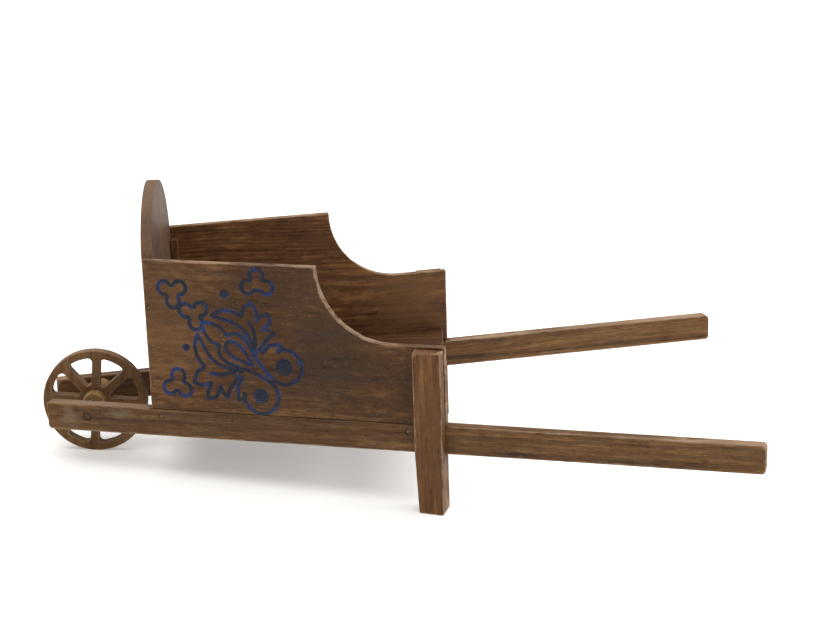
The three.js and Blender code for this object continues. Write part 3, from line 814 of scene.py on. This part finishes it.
def makeWheel(shape, look):
    low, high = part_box("wheel")
    middle = (low + high) / 2
    radius, thickness = high.z - middle.z, high.y - low.y
    name = camel("wheel")
    obj = addObject(name, outlineMesh(name, [windowOutline(shape, radius)], [True]))
    axes = Matrix(((0, 0, 1), (1, 0, 0), (0, 1, 0))).transposed()
    finish = woodMaterial("wheelWood", middle, axes, look)
    runTree(obj, windowTree(shape), {
        "Radius": radius, "Bore": shape["bore"], "Thickness": thickness, "Spokes": shape["spokes"],
        "Saw Wander": shape["sawWander"], "Seed": shape["seed"], "Finish": finish})
    settle(obj)
    reach = Vector((radius, radius, thickness))
    obj.data = weather(
        wholeFaces(obj.data, 0.3), name, Matrix.Identity(3), -reach, reach, shape, shape["seed"])
    # the wheel is made lying on its side, so it is stood up and turned to its place
    standing = Matrix.Rotation(math.radians(shape["phase"]), 4, "Y") @ Matrix.Rotation(math.pi / 2, 4, "X")
    obj.data.transform(Matrix.Translation(middle) @ standing @ Matrix.Translation((0, 0, -thickness / 2)))
    obj.data.materials.clear()
    obj.data.materials.append(finish)
    softShade(obj)
    handOver(obj, "wheel_set", ["wheel"])
    return obj


wheel = makeWheel(wheelShape, wheelLook)
print("wheel", len(wheel.data.polygons), "faces")


# Turned pieces: hubs and axle, spun about the axle's line
turnedShape = {"sides": 72, "bore": 4.3 * mm, "hubRound": 1.5 * mm, "axleRound": 0.5 * mm}
hubLook = like(
    plainWood, ringSpacing=1.6 * mm, pith=(0.0, 0.0), lean=0.0, wobble=1.5 * mm, rings=0.4, fibres=0.4,
    dark=(84, 57, 28), middle=(138, 103, 58), light=(170, 134, 84), bare=(180, 150, 112), dust=0.2)
axleLook = like(
    hubLook, dark=(48, 34, 22), middle=(76, 56, 38), light=(104, 80, 56), bare=(112, 90, 68), wear=0.3,
    seed=58)


# A profile of (radius, along) points spun about Y into a closed shape
def turnedMesh(profile, sides):
    shape = bmesh.new()
    rings = [[shape.verts.new((radius * math.cos(2 * math.pi * k / sides), along,
                               radius * math.sin(2 * math.pi * k / sides))) for k in range(sides)]
             for radius, along in profile]
    for one, two in zip(rings, rings[1:]):
        for k in range(sides):
            shape.faces.new((one[k], one[(k + 1) % sides], two[(k + 1) % sides], two[k]))
    bmesh.ops.remove_doubles(shape, verts=shape.verts, dist=0.001 * mm)
    bmesh.ops.recalc_face_normals(shape, faces=shape.faces)
    if shape.calc_volume(signed=True) < 0:
        bmesh.ops.reverse_faces(shape, faces=shape.faces)
    return shape


# Points along a straight run of a profile, so that the pale arris band of wear and painted highlight has
# somewhere to show
def stepped(start, end, count):
    return [tuple(a + (b - a) * k / count for a, b in zip(start, end)) for k in range(count)]


def turnedPiece(node, body, profile, corners, look):
    low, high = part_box(node)
    middle = (low + high) / 2
    shape = turnedMesh(profile, turnedShape["sides"])
    gaps = [min(math.hypot(math.hypot(v.co.x, v.co.z) - r, v.co.y - y) for r, y in corners)
            for v in shape.verts]
    obj = addObject(camel(node), meshFrom(shape, camel(node)))
    obj.data.attributes.new("edgeGap", "FLOAT", "POINT").data.foreach_set("value", gaps)
    obj.data.transform(Matrix.Translation(middle))
    softShade(obj)
    axes = Matrix(((0, 1, 0), (0, 0, 1), (1, 0, 0))).transposed()
    obj.data.materials.append(woodMaterial(camel(node) + "Wood", middle, axes, look))
    handOver(obj, body, [node])
    return obj


# A hub is a thick ring: flat against the wheel, rounded on its other face
def hubProfile(radius, bore, length, outwards):
    turn, half = turnedShape["hubRound"], length / 2
    inner, outer = -outwards * half, outwards * half
    arris = [(radius - turn * (1 - math.cos(a)), outer - outwards * turn * (1 - math.sin(a)))
             for a in (math.pi / 2 * k / 6 for k in range(7))]
    profile = stepped((bore, inner), (radius, inner), 5)
    profile += stepped((radius, inner), arris[0], 8)
    profile += arris
    profile += stepped(arris[-1], (bore, outer), 5)[1:]
    profile += stepped((bore, outer), (bore, inner), 6) + [(bore, inner)]
    return profile, [(radius, inner), (radius, outer), (bore, outer)]


for node, outwards, seed in (("left_hub", -1, 51), ("right_hub", 1, 54)):
    low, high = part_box(node)
    profile, corners = hubProfile((high.z - low.z) / 2, turnedShape["bore"], high.y - low.y, outwards)
    turnedPiece(node, "wheel_set", profile, corners, like(hubLook, seed=seed))


def makeAxle():
    low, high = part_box("axle")
    radius, half, turn = (high.z - low.z) / 2, (high.y - low.y) / 2, turnedShape["axleRound"]
    arc = [(radius - turn * (1 - math.cos(a)), half - turn * (1 - math.sin(a)))
           for a in (math.pi / 2 * k / 4 for k in range(5))]
    end = arc + stepped(arc[-1], (0, half), 4)[1:] + [(0, half)]
    profile = [(r, -y) for r, y in reversed(end)] + stepped((radius, turn - half), arc[0], 24)[1:] + end
    turnedPiece("axle", "barrow", profile, [(radius, half), (radius, -half)], axleLook)


makeAxle()
print("hubs and axle turned")


# Nails: one steel pin set on each CAD nail's place, its sizes as shares of the head's radius
nailShape = {"sides": 20, "headThickness": 0.38, "crown": 0.22, "shank": 0.5, "length": 10.5}
steelLook = {
    "bright": (124, 98, 74), "tarnish": (84, 62, 44), "rust": (88, 58, 36), "roughness": 0.5,
    "metallic": 0.6, "tarnishWaves": 700, "rustWaves": 420,
}


def steelMaterial(look):
    material, tree, shader = newMaterial("tarnishedSteel")
    coordinates = tree.nodes.new("ShaderNodeTexCoord")
    place = coordinates.outputs["Object"]
    tarnish = ramp(tree, noiseField(
        tree, place, (look["tarnishWaves"],) * 3, (1, 2, 3), 4.0, 0.6), 0.35, 0.65)
    rust = ramp(tree, noiseField(
        tree, place, (look["rustWaves"],) * 3, (4, 7, 2), 5.0, 0.65), 0.55, 0.72)
    colour = mixColour(tree, tarnish, tone(*look["bright"]), tone(*look["tarnish"]))
    feed(tree, shader.inputs["Base Color"], mixColour(tree, rust, colour, tone(*look["rust"])))
    feed(tree, shader.inputs["Metallic"], calc(tree, "MULTIPLY_ADD", rust, -0.5, look["metallic"]))
    rough = calc(tree, "MULTIPLY_ADD", tarnish, 0.15, look["roughness"])
    feed(tree, shader.inputs["Roughness"], calc(tree, "MULTIPLY_ADD", rust, 0.3, rough))
    relief(tree, shader, rust, 0.4, 0.1 * mm)
    spreadNodes(tree)
    return material


steel = steelMaterial(steelLook)


# Where a CAD pin stands: the middle of its head's top, which way the head faces, and the head's radius
def pinPlace(node):
    points = np.array([vertex.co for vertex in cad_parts[node].data.vertices])
    middle = points.mean(0)
    direction = np.linalg.svd(points - middle, full_matrices=False)[2][0]
    along = (points - middle) @ direction
    off = np.linalg.norm(points - middle - np.outer(along, direction), axis=1)
    head = along[off > off.max() * 0.98].mean()
    facing = direction * np.sign(head)
    top = ((points - middle) @ facing).max()
    return Vector(middle + facing * top), Vector(facing), float(off.max())


def pinTree():
    tree, given, result = treeWith("pinsOnPlaces", {
        "Sides": ("Int", 20), "Head Thickness": ("Float", 0.4), "Crown": ("Float", 0.2),
        "Shank": ("Float", 0.5), "Length": ("Float", 10.0), "Finish": ("Material", None)})
    crownUp = calc(tree, "MULTIPLY", given["Crown"], -1.0)
    head = step(tree, "GeometryNodeMeshCylinder", {
        "Vertices": given["Sides"], "Radius": 1.0, "Depth": given["Head Thickness"]})
    headDown = calc(tree, "MULTIPLY_ADD", given["Head Thickness"], -0.5, crownUp)
    headPlace = step(tree, "ShaderNodeCombineXYZ", {"Z": headDown})
    lowered = step(tree, "GeometryNodeTransform", {
        "Geometry": head.outputs[0], "Translation": headPlace.outputs[0]})
    crown = step(tree, "GeometryNodeMeshUVSphere", {
        "Segments": given["Sides"], "Rings": 10, "Radius": 1.0})
    crownScale = step(tree, "ShaderNodeCombineXYZ", {"X": 0.97, "Y": 0.97, "Z": given["Crown"]})
    crownPlace = step(tree, "ShaderNodeCombineXYZ", {"Z": crownUp})
    crowned = step(tree, "GeometryNodeTransform", {
        "Geometry": crown.outputs[0], "Translation": crownPlace.outputs[0],
        "Scale": crownScale.outputs[0]})
    shank = step(tree, "GeometryNodeMeshCylinder", {
        "Vertices": given["Sides"], "Radius": given["Shank"], "Depth": given["Length"]})
    shankPlace = step(tree, "ShaderNodeCombineXYZ", {
        "Z": calc(tree, "MULTIPLY_ADD", given["Length"], -0.5, headDown)})
    driven = step(tree, "GeometryNodeTransform", {
        "Geometry": shank.outputs[0], "Translation": shankPlace.outputs[0]})
    pin = step(tree, "GeometryNodeJoinGeometry")
    for part in (lowered, crowned, driven):
        tree.links.new(part.outputs[0], pin.inputs[0])
    facing = step(tree, "GeometryNodeInputNamedAttribute", {"Name": "facing"}, data_type="FLOAT_VECTOR")
    reach = step(tree, "GeometryNodeInputNamedAttribute", {"Name": "headRadius"}, data_type="FLOAT")
    turn = step(tree, "FunctionNodeAlignRotationToVector", {"Vector": facing.outputs[0]}, axis="Z")
    pins = step(tree, "GeometryNodeInstanceOnPoints", {
        "Points": given["Geometry"], "Instance": pin.outputs[0], "Rotation": turn.outputs[0],
        "Scale": reach.outputs[0]})
    return finishTree(tree, given, result, pins.outputs[0])


def makePins(name, nodes, shape):
    places = [pinPlace(node) for node in nodes]
    mesh = bpy.data.meshes.new(name)
    mesh.from_pydata([place for place, _, _ in places], [], [])
    facing = mesh.attributes.new("facing", "FLOAT_VECTOR", "POINT")
    facing.data.foreach_set("vector", [value for _, way, _ in places for value in way])
    reach = mesh.attributes.new("headRadius", "FLOAT", "POINT")
    reach.data.foreach_set("value", [radius for _, _, radius in places])
    obj = addObject(name, mesh)
    runTree(obj, pinTree(), {
        "Sides": shape["sides"], "Head Thickness": shape["headThickness"], "Crown": shape["crown"],
        "Shank": shape["shank"], "Length": shape["length"], "Finish": steel})
    settle(obj)
    softShade(obj)
    handOver(obj, "barrow", nodes)


nailNodes = sorted(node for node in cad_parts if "_nail" in node)
makePins("nails", nailNodes, nailShape)
print("nails", len(nailNodes))


# Slotted screws that hold the legs from inside
screwShape = {
    "slotWidth": 0.9 * mm,
    "slotDepth": 0.7 * mm,
    "sides": 40,
    # the head's top: shares of its radius, and how far each lies below the middle
    "headCurve": [(0, 0), (0.55, 0.02 * mm), (0.93, 0.06 * mm), (1, 0.25 * mm)],
    "sinkDepth": 0.35 * mm,   # the head's underside ends this much deeper than its slope is wide
    "shank": 0.5,             # share of the head's radius
    "length": 0.86,           # share of the CAD screw's box, corner to corner
    "pointStart": 0.8,        # share of the length
}


def makeScrew(node, shape):
    place, facing, radius = pinPlace(node)
    low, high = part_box(node)
    length = (high - low).length * shape["length"]
    shank = radius * shape["shank"]
    profile = [(radius * share, -depth) for share, depth in shape["headCurve"]]
    profile += [(shank, -shape["sinkDepth"] - (radius - shank)), (shank, -length * shape["pointStart"]),
                (0, -length)]
    obj = addObject(camel(node), meshFrom(turnedMesh(profile, shape["sides"]), camel(node)))
    cutterShape = bmesh.new()
    bmesh.ops.create_cube(cutterShape, size=1.0)
    cutter = addObject("slotCutter", meshFrom(cutterShape, "slotCutter"))
    cutter.data.transform(Matrix.Diagonal((3 * radius, 2 * shape["slotDepth"], shape["slotWidth"], 1)))
    slot = obj.modifiers.new("slot", "BOOLEAN")
    slot.object = cutter
    slot.solver = "EXACT"
    settle(obj)
    bpy.data.objects.remove(cutter)
    turn = facing.to_track_quat("Y", "Z").to_matrix().to_4x4()
    obj.data.transform(Matrix.Translation(place) @ turn)
    softShade(obj)
    obj.data.materials.clear()
    obj.data.materials.append(steel)
    handOver(obj, "barrow", [node])


for node in ("left_leg_screw", "right_leg_screw"):
    makeScrew(node, screwShape)
print("screws made")


# Dowels between shafts and panels show only at a joint line
dowelLook = like(hubLook, wear=0.0, seed=63)
dowelWood = woodMaterial(
    "dowelWood", Vector((0, 0, 0)), Matrix(((0, 0, 1), (1, 0, 0), (0, 1, 0))).transposed(), dowelLook)
for node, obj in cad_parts.items():
    if "_dowel_" in node:
        obj.data.materials.clear()
        obj.data.materials.append(dowelWood)


# Painted sprays: brush strokes laid on each panel's outer face. Places and plain numbers are in
# millimetres from the panel's front lower corner
sprayShape = {
    "tip": (55.8, 87.2),
    "turn": -38.8,            # degrees, from tip towards the two eyes
    "loopCentre": (86, 19),
    "loopRadius": 17,
    "eyeRadii": (8.6, 7.4),
    "strokeWidth": 4.0 * mm,
    "strokeHeight": 0.26 * mm,
    "dotHeight": 1.15,        # share of a stroke's height
    "sunk": 0.1 * mm,         # how deep the paint's underside lies in the wood
    "spacing": 1.0 * mm,      # between a stroke's points
    "lightEnd": 0.45,         # a stroke's width at its ends, as a share
    "pressIn": 6,             # how far from an end it is full
    "unevenness": 0.3,
    "trefoils": [((28.6, 115.2), 32, 1.0), ((49.0, 95.0), 38, 1.0), ((112.0, 127.0), 90, 1.14),
                 ((28.5, 26.0), 84, 1.0)],    # middle, turn of the first lobe, how wide the others open
    "lobeReach": 8.6,
    "lobeRadius": 6.4,
    "lobeSweep": 128,         # degrees of a lobe's circle drawn each way from its tip
    "dots": [((79.7, 115.8), 4.4), ((38.9, 62.4), 3.8)],
    "lowerLeaf": (20, 0.2),   # past this distance out, the lower leaf is longer by this share
    "seed": 9,
}
paintLook = {
    "navy": (20, 23, 31), "blue": (31, 54, 112), "rubbed": (74, 52, 34), "roughness": 0.55,
    "gloss": 0.2, "dust": 0.16, "scratches": 0.25, "dustTint": (120, 112, 108),
}


# Half of the spray: distances along its middle line and out from it. A stroke is a list of smooth runs
def sprayHalf(shape):
    centre, radius = shape["loopCentre"], shape["loopRadius"]
    loop = arcPoints(centre, radius, math.radians(-90), math.radians(152), 12)
    return [
        [[(0, 0), (7, 5.3), (17, 8.4), (26.5, 6.2)],
         [(26.5, 6.2), (29, 11.4), (36, 15), (46, 13.2), (57, 9.2), (70, 4.6)] + loop],
        [[(59, 11.5), (47, 17.8), (35, 21.6), (23, 20.4), (12.5, 16), (3.5, 11.8)],
         [(3.5, 11.8), (6.5, 20.5), (13, 26.6), (20, 29.6), (27, 30.8)]],
        [[(27, 30.8), (23.2, 38), (25.4, 47.2)], [(25.4, 47.2), (33.2, 44.6), (40, 37.4)],
         [(40, 37.4), (41, 44.6), (44.6, 50.2)], [(44.6, 50.2), (50.6, 43.8), (48.6, 34.6)],
         [(48.6, 34.6), (54, 37.8), (60.4, 38.8)], [(60.4, 38.8), (57.8, 30.6), (58.2, 15.4)]],
        [[(33, 32), (43.4, 27), (54, 16.6)]],
        [[(62, 15), (63.2, 26), (70, 34)], [(70, 34), (73.4, 31), (73, 25.6)]],
    ]


# A smooth curve through all its points
def throughPoints(points, steps=8):
    ends = [points[0], *points, points[-1]]
    path = []
    for before, start, end, after in zip(ends, ends[1:], ends[2:], ends[3:]):
        for k in range(steps):
            t = k / steps
            path.append(tuple(
                0.5 * (2 * b + (c - a) * t + (2 * a - 5 * b + 4 * c - d) * t * t
                       + (3 * b - a - 3 * c + d) * t ** 3)
                for a, b, c, d in zip(before, start, end, after)))
    return path + [tuple(points[-1])]


def trefoil(centre, turn, wide, shape):
    path = []
    opening = 180 - 60 * wide
    for swing, stretch in ((0, 2 - wide), (opening, wide), (-opening, wide)):
        angle = math.radians(turn + swing)
        middle = (centre[0] + stretch * shape["lobeReach"] * math.cos(angle),
                  centre[1] + stretch * shape["lobeReach"] * math.sin(angle))
        sweep = math.radians(shape["lobeSweep"])
        path += arcPoints(middle, shape["lobeRadius"], angle - sweep, angle + sweep, 18)
    return path


# From distances along and out from the spray's middle line to a place on the panel
def spraySpot(shape, along, out):
    angle = math.radians(shape["turn"])
    return (shape["tip"][0] + along * math.cos(angle) - out * math.sin(angle),
            shape["tip"][1] + along * math.sin(angle) + out * math.cos(angle))


def sprayStrokes(shape):
    strokes, closed = [], []
    root, longer = shape["lowerLeaf"]
    for side in (1, -1):
        for number, runs in enumerate(sprayHalf(shape)):
            path = []
            for run in runs:
                path += throughPoints(run)[1 if path else 0:]
            if side < 0 and number > 0:
                path = [(along + 0.5 * longer * max(0, out - root), out + longer * max(0, out - root))
                        for along, out in path]
            strokes.append([spraySpot(shape, along, side * out) for along, out in path])
            closed.append(False)
    drop = throughPoints([(62, 0), (52, 4), (41, 6.4), (33, 4.6), (30.4, 0), (33, -4.6), (41, -6.4),
                          (52, -4), (62, 0)])
    strokes.append([spraySpot(shape, along, out) for along, out in drop[:-1]])
    closed.append(True)
    for centre, turn, wide in shape["trefoils"]:
        strokes.append(trefoil(centre, turn, wide, shape))
        closed.append(True)
    return strokes, closed


def strokeTree():
    tree, given, result = treeWith("brushStrokes", {
        "Width": ("Float", 0.003), "Height": ("Float", 0.0003), "Spacing": ("Float", 0.0012),
        "Unevenness": ("Float", 0.3), "Seed": ("Int", 9), "Finish": ("Material", None)})
    line = step(tree, "GeometryNodeMeshToCurve", {"Mesh": given["Geometry"]})
    even = step(tree, "GeometryNodeResampleCurve", {
        "Curve": line.outputs[0], "Length": given["Spacing"]}, mode="LENGTH")
    upright = step(tree, "GeometryNodeSetCurveNormal", {"Curve": even.outputs[0]}, mode="Z_UP")
    press = step(tree, "GeometryNodeInputNamedAttribute", {"Name": "press"}, data_type="FLOAT")
    field = step(tree, "ShaderNodeTexNoise", {"W": given["Seed"], "Scale": 260.0}, noise_dimensions="4D")
    wave = calc(tree, "MULTIPLY", centred(tree, field.outputs[0], 2.0), given["Unevenness"])
    radius = calc(tree, "MULTIPLY", press.outputs[0], calc(tree, "ADD", wave, 1.0))
    thick = step(tree, "GeometryNodeSetCurveRadius", {"Curve": upright.outputs[0], "Radius": radius})
    circle = step(tree, "GeometryNodeCurvePrimitiveCircle", {"Resolution": 12, "Radius": 1.0})
    half = step(tree, "ShaderNodeCombineXYZ", {
        "X": calc(tree, "MULTIPLY", given["Width"], 0.5), "Y": given["Height"], "Z": 1.0})
    spot = step(tree, "GeometryNodeInputPosition")
    split = step(tree, "ShaderNodeSeparateXYZ", {"Vector": spot.outputs[0]})
    marked = step(tree, "GeometryNodeStoreNamedAttribute", {
        "Geometry": circle.outputs[0], "Name": "across",
        "Value": calc(tree, "ABSOLUTE", split.outputs[0])}, data_type="FLOAT", domain="POINT")
    oval = step(tree, "GeometryNodeTransform", {"Geometry": marked.outputs[0], "Scale": half.outputs[0]})
    ribbon = step(tree, "GeometryNodeCurveToMesh", {
        "Curve": thick.outputs[0], "Profile Curve": oval.outputs[0], "Fill Caps": True})
    return finishTree(tree, given, result, ribbon.outputs[0])


def dotTree():
    tree, given, result = treeWith("paintDots", {
        "Height": ("Float", 0.0003), "Finish": ("Material", None)})
    reach = step(tree, "GeometryNodeInputNamedAttribute", {"Name": "reach"}, data_type="FLOAT")
    ball = step(tree, "GeometryNodeMeshUVSphere", {"Segments": 48, "Rings": 12, "Radius": 1.0})
    size = step(tree, "ShaderNodeCombineXYZ", {
        "X": reach.outputs[0], "Y": reach.outputs[0], "Z": given["Height"]})
    dots = step(tree, "GeometryNodeInstanceOnPoints", {
        "Points": given["Geometry"], "Instance": ball.outputs[0], "Scale": size.outputs[0]})
    return finishTree(tree, given, result, dots.outputs[0])


def paintMaterial(name, look, seed):
    material, tree, shader = newMaterial(name)
    coordinates = tree.nodes.new("ShaderNodeTexCoord")
    place = coordinates.outputs["Object"]
    shift = (seed, 2.0 * seed, 3.0)
    pool = ramp(tree, noiseField(tree, place, (85, 85, 85), shift, 5.0, 0.62), 0.46, 0.62)
    brush = noiseField(tree, place, (900, 900, 900), shift, 3.0, 0.6)
    rubbed = ramp(tree, noiseField(tree, place, (500, 500, 700), shift, 5.0, 0.7), 0.58, 0.74, 0.0, 0.7)
    across = tree.nodes.new("ShaderNodeAttribute")     # 0 along a stroke's middle, 1 at its edges
    across.attribute_name = "across"
    # Bluer towards each stroke's edges: partly thinner paint, partly a painted highlight along the edges
    thin = calc(tree, "MULTIPLY_ADD", ramp(tree, across.outputs["Fac"], 0.3, 0.9), 0.45, 0.5)
    blueness = calc(tree, "MULTIPLY", thin, calc(tree, "MULTIPLY_ADD", pool, 0.85, 0.1), clamp=True)
    colour = mixColour(tree, blueness, tone(*look["navy"]), tone(*look["blue"]))
    worn = mixColour(tree, rubbed, colour, tone(*look["rubbed"]))
    dusty = useGroup(tree, dustFilm, {
        "Color": worn, "Place": place, "Seed": float(seed), "Amount": look["dust"],
        "Scratches": look["scratches"], "Dust": tone(*look["dustTint"])})
    feed(tree, shader.inputs["Base Color"], dusty["Color"])
    feed(tree, shader.inputs["Roughness"], calc(tree, "ADD", centred(tree, brush, 0.3), look["roughness"]))
    relief(tree, shader, brush, 0.3, 0.1 * mm)
    shader.inputs["Specular IOR Level"].default_value = look["gloss"]
    spreadNodes(tree)
    return material


strokes, closedStrokes = sprayStrokes(sprayShape)
brushTree = strokeTree()
eyeTree = dotTree()


# Brush pressure: full in a stroke, lighter at its two ends
def pressure(path, shut, shape):
    if shut:
        return [1.0] * len(path)
    steps = [math.dist(a, b) for a, b in zip(path, path[1:])]
    total, done, values = sum(steps), 0.0, []
    for length in [*steps, 0.0]:
        near = min(done, total - done)
        values.append(shape["lightEnd"] + (1 - shape["lightEnd"]) * min(1.0, near / shape["pressIn"]))
        done += length
    return values


# Outer face of a panel: its front lower corner, along, up, and outwards
def panelFace(node, hand):
    axes = boardAxes(node)[0]
    along = axes.col[0]
    out = axes.col[2] * (1 if axes.col[2].y * hand > 0 else -1)
    up = axes.col[1] * (1 if axes.col[1].z > 0 else -1)
    points = [vertex.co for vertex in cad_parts[node].data.vertices]
    corner = (along * min(p.dot(along) for p in points) + up * min(p.dot(up) for p in points)
              + out * max(p.dot(out) for p in points))
    return corner, along, up, out


def paintPanel(side, hand):
    corner, along, up, out = panelFace(f"{side}_side_panel", hand)
    # on the right side the spray is drawn mirrored, so that its strokes stay right side out
    flip = -hand
    turn = Matrix((along * flip, up, out)).transposed().to_4x4()
    place = Matrix.Translation(corner - out * sprayShape["sunk"]) @ turn
    finish = paintMaterial(f"{side}Paint", paintLook, 2 + hand)
    scaled = [[(flip * x * mm, y * mm) for x, y in path] for path in strokes]
    lines = addObject(f"{side}Strokes", outlineMesh(f"{side}Strokes", scaled, closedStrokes))
    press = lines.data.attributes.new("press", "FLOAT", "POINT")
    press.data.foreach_set("value", [
        value for path, shut in zip(strokes, closedStrokes)
        for value in pressure(path, shut, sprayShape)])
    runTree(lines, brushTree, {
        "Width": sprayShape["strokeWidth"], "Height": sprayShape["strokeHeight"],
        "Spacing": sprayShape["spacing"], "Unevenness": sprayShape["unevenness"],
        "Seed": sprayShape["seed"], "Finish": finish})
    settle(lines)
    eyeAlong, eyeOut = sprayShape["loopCentre"]
    dots = [(spraySpot(sprayShape, eyeAlong, way * eyeOut), radius)
            for way, radius in zip((1, -1), sprayShape["eyeRadii"])] + sprayShape["dots"]
    spots = bpy.data.meshes.new(f"{side}Dots")
    spots.from_pydata([(flip * x * mm, y * mm, 0) for (x, y), _ in dots], [], [])
    spots.attributes.new("reach", "FLOAT", "POINT").data.foreach_set(
        "value", [radius * mm for _, radius in dots])
    eyeObject = addObject(f"{side}Dots", spots)
    dotHeight = sprayShape["strokeHeight"] * sprayShape["dotHeight"]
    runTree(eyeObject, eyeTree, {"Height": dotHeight, "Finish": finish})
    settle(eyeObject)
    for obj in (lines, eyeObject):
        obj.data.transform(place)
        softShade(obj, 60)
        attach(obj, "barrow")


for side, hand in (("left", -1), ("right", 1)):
    paintPanel(side, hand)
print("sprays painted:", len(strokes), "strokes a side")


# Studio: pale floor, big soft light above, a softer one from the handle end, a weak one in front
studio = {
    "floorTint": (236, 235, 233),
    "floorCloud": (220, 219, 217),
    "floorReach": 14,
    "floorGlow": (0.35, 0.8),    # near the cart, where it keeps the shadow pale, and far from it
    "glowReach": (1.5, 7.0),     # where the near glow ends and the far one begins
    "world": 0.37,
    "lights": {
        "topBox": {"place": (0.3, 0.8, 4.5), "aim": (0.3, 0.8, 0), "size": 8.0, "watts": 425},
        "handleBox": {"place": (2.5, 0.1, 1.1), "aim": (0, 0, 0.1), "size": 1.3, "watts": 28},
        "frontBox": {"place": (-0.7, -2.6, 1.3), "aim": (0, 0, 0.1), "size": 1.8, "watts": 6},
    },
}


def makeStudio(settings):
    floorShape = bmesh.new()
    bmesh.ops.create_grid(floorShape, x_segments=4, y_segments=4, size=settings["floorReach"])
    floor = addObject("studioFloor", meshFrom(floorShape, "studioFloor"))
    material, tree, shader = newMaterial("paleFloor")
    coordinates = tree.nodes.new("ShaderNodeTexCoord")
    cloud = noiseField(tree, coordinates.outputs["Object"], (1.5, 1.5, 1.5), (0, 0, 0), 3.0, 0.5)
    pale = tone(*settings["floorTint"])
    feed(tree, shader.inputs["Base Color"], mixColour(
        tree, ramp(tree, cloud, 0.3, 0.7, 0.0, 0.04), pale, tone(*settings["floorCloud"])))
    shader.inputs["Roughness"].default_value = 0.85
    away = vectorCalc(tree, "LENGTH", coordinates.outputs["Object"])
    glow = ramp(tree, away, *settings["glowReach"], *settings["floorGlow"])
    feed(tree, shader.inputs["Emission Color"], mixColour(tree, glow, (0, 0, 0, 1), pale))
    shader.inputs["Emission Strength"].default_value = 1.0
    floor.data.materials.append(material)
    for name, light in settings["lights"].items():
        data = bpy.data.lights.new(name, "AREA")
        data.shape = "SQUARE"
        data.size = light["size"]
        data.energy = light["watts"]
        obj = bpy.data.objects.new(name, data)
        obj.location = light["place"]
        ahead = Vector(light["aim"]) - Vector(light["place"])
        obj.rotation_euler = ahead.to_track_quat("-Z", "Y").to_euler()
        bpy.context.scene.collection.objects.link(obj)
    world = bpy.data.worlds.new("studioWorld")
    world.use_nodes = True
    background = world.node_tree.nodes["Background"]
    background.inputs["Color"].default_value = (1, 1, 1, 1)
    background.inputs["Strength"].default_value = settings["world"]
    bpy.context.scene.world = world
    bpy.context.scene.view_settings.view_transform = "Standard"


makeStudio(studio)
print("studio lit")
